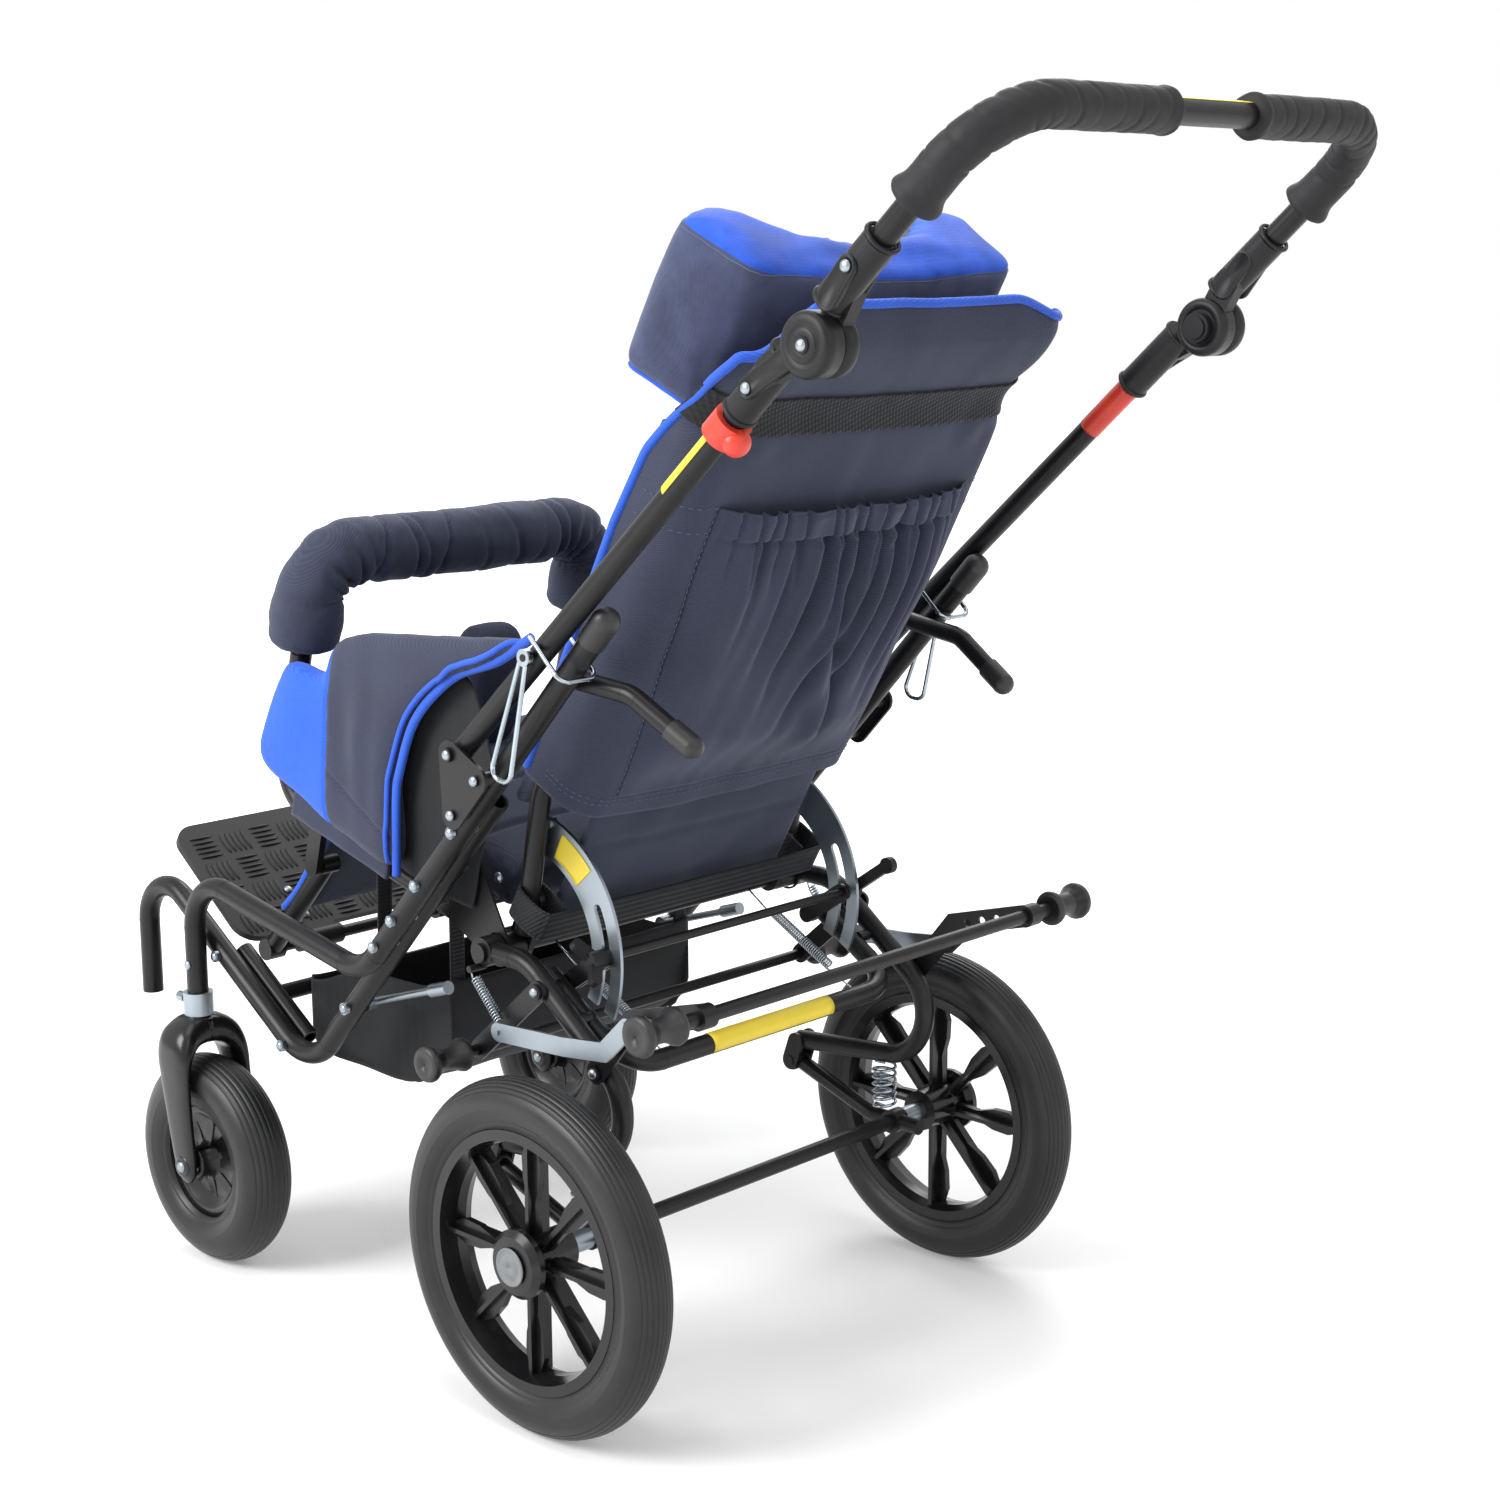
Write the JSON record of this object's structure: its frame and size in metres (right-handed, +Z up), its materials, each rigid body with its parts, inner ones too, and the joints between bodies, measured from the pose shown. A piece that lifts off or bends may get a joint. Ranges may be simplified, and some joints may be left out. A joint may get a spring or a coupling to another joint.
{
  "type": "special needs buggy",
  "caption": "Folding special needs buggy with reclining padded seat, adjustable push handle, bumper, leg rest, sprung rear wheels and swivel casters.",
  "frame": {"origin": "on the floor, under the middle of the part's bounding box", "axes": "+Z up, -Y forward, +X towards the occupant's left"},
  "size_m": [0.566, 1.1016, 1.0553],
  "materials": {
    "tube_black": "satin",
    "zinc": "satin",
    "rubber_black": "matte",
    "tyre_black": "matte",
    "plastic_black": "satin",
    "navy_cloth": "matte",
    "blue_cloth": "matte",
    "webbing_black": "matte",
    "red_plastic": "gloss"
  },
  "bodies": {
    "front_frame": {"side_tubes": "tube_black", "inner_tubes": "tube_black", "tube_caps": "rubber_black", "tip_levers": "tube_black", "gusset_plates": "tube_black", "lower_cross_frame": "tube_black", "seat_frame": "tube_black", "side_plates": "tube_black", "frame_fasteners": "zinc", "swivel_collars": "zinc", "seat_cushion": "navy_cloth", "side_wings": "navy_cloth", "basket_net": "webbing_black"},
    "push_bar": {"push_tubes": "tube_black", "elbow_sockets": "plastic_black", "clip_light": "red_plastic"},
    "handle": {"handle_bar": "tube_black", "handle_grips": "rubber_black", "elbow_knuckles": "plastic_black"},
    "button_left": {"elbow_button_left": "plastic_black"},
    "button_right": {"elbow_button_right": "plastic_black"},
    "ring_left": {"lock_ring_left": "zinc"},
    "ring_right": {"lock_ring_right": "zinc"},
    "stirrup_l": {"stirrup_left": "zinc"},
    "stirrup_r": {"stirrup_right": "zinc"},
    "backrest": {"backrest_tube": "tube_black", "recline_arcs": "zinc", "back_cover": "navy_cloth", "back_pad": "navy_cloth", "headrest_pad": "navy_cloth", "back_straps": "webbing_black"},
    "rear_frame": {"rear_legs": "tube_black", "rear_u_tube": "tube_black", "recline_clamps": "tube_black", "assist_springs": "zinc", "return_springs": "zinc", "suspension_springs": "zinc"},
    "foot_lock": {"foot_bar": "tube_black", "foot_bar_strips": "zinc"},
    "pedal": {"lower_pedal": "tube_black"},
    "clamp_knob": {"recline_knob": "plastic_black"},
    "clamp_lever": {"recline_lever": "plastic_black"},
    "rear_axle": {"swing_arms": "tube_black", "axle": "tube_black", "axle_spacers": "zinc"},
    "rear_wheel_left": {"rear_rim_left": "plastic_black", "rear_tyre_left": "tyre_black"},
    "rear_wheel_right": {"rear_rim_right": "plastic_black", "rear_tyre_right": "tyre_black"},
    "swivel_left": {"caster_fork_left": "plastic_black"},
    "swivel_right": {"caster_fork_right": "plastic_black"},
    "front_wheel_left": {"caster_wheel_left": "tyre_black"},
    "front_wheel_right": {"caster_wheel_right": "tyre_black"},
    "pin_left": {"swivel_pin_left": "zinc"},
    "pin_right": {"swivel_pin_right": "zinc"},
    "legrest": {"leg_hangers": "tube_black", "calf_pad": "navy_cloth"},
    "foot_support": {"footplate": "plastic_black"},
    "bumper": {"bumper_tube": "tube_black", "bumper_pad": "navy_cloth"}
  },
  "joints": [
    {"name": "push_bar_fold", "type": "hinge", "parent": "front_frame", "child": "push_bar", "pos_m": [0, -0.00665, 0.55], "axis": [1, 0, 0], "range_deg": [0, 100]},
    {"name": "handle_angle", "type": "hinge", "parent": "push_bar", "child": "handle", "pos_m": [0, 0.38606, 0.88503], "axis": [1, 0, 0], "range_deg": [-60, 40]},
    {"name": "elbow_button_left", "type": "slide", "parent": "handle", "child": "button_left", "axis": [1, 0, 0], "range_m": [0, 0.006], "stiffness_N_per_m": 600, "springref_m": -0.003},
    {"name": "elbow_button_right", "type": "slide", "parent": "handle", "child": "button_right", "axis": [-1, 0, 0], "range_m": [0, 0.006], "stiffness_N_per_m": 600, "springref_m": -0.003},
    {"name": "lock_ring_left", "type": "slide", "parent": "front_frame", "child": "ring_left", "axis": [0, 0.6813, 0.732], "range_m": [0, 0.07]},
    {"name": "lock_ring_right", "type": "slide", "parent": "front_frame", "child": "ring_right", "axis": [0, 0.6813, 0.732], "range_m": [0, 0.07]},
    {"name": "stirrup_l_swing", "type": "hinge", "parent": "push_bar", "child": "stirrup_l", "pos_m": [0, 0.09352, 0.64051], "axis": [1, 0, 0], "range_deg": [-12, 12]},
    {"name": "stirrup_r_swing", "type": "hinge", "parent": "push_bar", "child": "stirrup_r", "pos_m": [0, 0.09352, 0.64051], "axis": [1, 0, 0], "range_deg": [-12, 12]},
    {"name": "backrest_recline", "type": "hinge", "parent": "front_frame", "child": "backrest", "pos_m": [0, -0.03265, 0.369], "axis": [1, 0, 0], "range_deg": [-20, 18]},
    {"name": "rear_frame_fold", "type": "hinge", "parent": "front_frame", "child": "rear_frame", "pos_m": [0, -0.03265, 0.369], "axis": [1, 0, 0], "range_deg": [-40, 0]},
    {"name": "axle_suspension", "type": "hinge", "parent": "rear_frame", "child": "rear_axle", "pos_m": [0, -0.02965, 0.183], "axis": [1, 0, 0], "range_deg": [-2, 4], "stiffness_Nm_per_rad": 220, "springref_deg": -3.44, "deforming": ["suspension_springs"]},
    {"name": "foot_bar_press", "type": "hinge", "parent": "rear_frame", "child": "foot_lock", "pos_m": [0, 0.11135, 0.297], "axis": [1, 0, 0], "range_deg": [-8, 0], "stiffness_Nm_per_rad": 4, "springref_deg": 34.38, "deforming": ["return_springs"]},
    {"name": "pedal_press", "type": "hinge", "parent": "rear_frame", "child": "pedal", "pos_m": [0, 0.04135, 0.3506], "axis": [1, 0, 0], "range_deg": [0, 6], "stiffness_Nm_per_rad": 3, "springref_deg": -34.38},
    {"name": "recline_knob_turn", "type": "hinge", "parent": "rear_frame", "child": "clamp_knob", "pos_m": [0, 0.06823, 0.37393], "axis": [1, 0, 0], "range_deg": [-90, 90]},
    {"name": "recline_lever_turn", "type": "hinge", "parent": "rear_frame", "child": "clamp_lever", "pos_m": [0, 0.06823, 0.37393], "axis": [1, 0, 0], "range_deg": [0, 60]},
    {"name": "rear_wheel_left_spin", "type": "hinge", "parent": "rear_axle", "child": "rear_wheel_left", "pos_m": [0, 0.09435, 0.15], "axis": [1, 0, 0], "continuous": true},
    {"name": "caster_left_swivel", "type": "hinge", "parent": "front_frame", "child": "swivel_left", "pos_m": [0.224, -0.42065, 0.369], "axis": [0, 0, 1], "continuous": true},
    {"name": "front_wheel_left_spin", "type": "hinge", "parent": "swivel_left", "child": "front_wheel_left", "pos_m": [0.224, -0.40265, 0.101], "axis": [1, 0, 0], "continuous": true},
    {"name": "swivel_pin_left_pull", "type": "slide", "parent": "front_frame", "child": "pin_left", "axis": [0, -1, 0], "range_m": [0, 0.006], "stiffness_N_per_m": 500, "springref_m": -0.004},
    {"name": "rear_wheel_right_spin", "type": "hinge", "parent": "rear_axle", "child": "rear_wheel_right", "pos_m": [0, 0.09435, 0.15], "axis": [1, 0, 0], "continuous": true},
    {"name": "caster_right_swivel", "type": "hinge", "parent": "front_frame", "child": "swivel_right", "pos_m": [-0.224, -0.42065, 0.369], "axis": [0, 0, 1], "continuous": true},
    {"name": "front_wheel_right_spin", "type": "hinge", "parent": "swivel_right", "child": "front_wheel_right", "pos_m": [-0.224, -0.40265, 0.101], "axis": [1, 0, 0], "continuous": true},
    {"name": "swivel_pin_right_pull", "type": "slide", "parent": "front_frame", "child": "pin_right", "axis": [0, -1, 0], "range_m": [0, 0.006], "stiffness_N_per_m": 500, "springref_m": -0.004},
    {"name": "legrest_swing", "type": "hinge", "parent": "front_frame", "child": "legrest", "pos_m": [0, -0.32365, 0.387], "axis": [1, 0, 0], "range_deg": [-30, 0]},
    {"name": "footplate_flip", "type": "hinge", "parent": "legrest", "child": "foot_support", "pos_m": [0, -0.41665, 0.287], "axis": [1, 0, 0], "range_deg": [-30, 0]},
    {"name": "bumper_lift", "type": "slide", "parent": "front_frame", "child": "bumper", "axis": [0, 0.2656, 0.9641], "range_m": [0, 0.06]}
  ]
}
